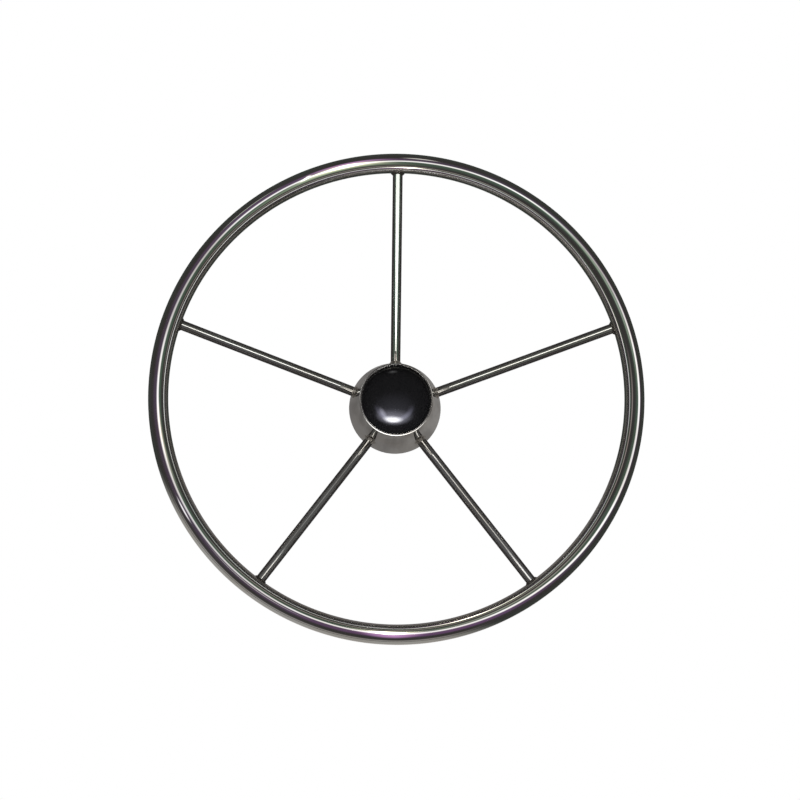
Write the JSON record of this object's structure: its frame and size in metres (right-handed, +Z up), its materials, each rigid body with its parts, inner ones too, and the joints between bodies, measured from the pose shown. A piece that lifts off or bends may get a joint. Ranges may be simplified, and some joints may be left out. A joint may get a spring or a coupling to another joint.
{
  "type": "boat steering wheel",
  "caption": "Dished stainless boat steering wheel: round tube rim on straight rod spokes, conical hub with a tapered keyed shaft bore under a domed pull-off cap.",
  "frame": {"origin": "on the shaft axis, at the back face of the hub boss, where the shaft enters", "axes": "+Y along the shaft axis towards the helm (the driver looks along +Y at the cap), +X to the driver's right, +Z up along the first spoke"},
  "size_m": [0.394, 0.08, 0.3939],
  "materials": {
    "polished_steel": "mirror polished stainless steel",
    "weld_steel": "dressed and polished weld bead",
    "turned_steel": "fine turned stainless steel",
    "cap_plastic": "glossy black moulded plastic"
  },
  "bodies": {
    "wheel": {"rim_tube": "polished_steel", "spoke_1": "polished_steel", "spoke_2": "polished_steel", "spoke_3": "polished_steel", "spoke_4": "polished_steel", "spoke_5": "polished_steel", "rim_weld_1": "weld_steel", "rim_weld_2": "weld_steel", "rim_weld_3": "weld_steel", "rim_weld_4": "weld_steel", "rim_weld_5": "weld_steel", "hub_weld_1": "weld_steel", "hub_weld_2": "weld_steel", "hub_weld_3": "weld_steel", "hub_weld_4": "weld_steel", "hub_weld_5": "weld_steel", "hub_shell": "polished_steel", "hub_web": "turned_steel", "web_weld": "weld_steel", "hub_boss": "turned_steel", "boss_weld": "weld_steel"},
    "cap": {"centre_cap": "cap_plastic"}
  },
  "joints": [
    {"name": "cap_pull_off", "type": "slide", "parent": "wheel", "child": "cap", "axis": [0, -1, 0], "range_m": [0, 0.04]}
  ]
}
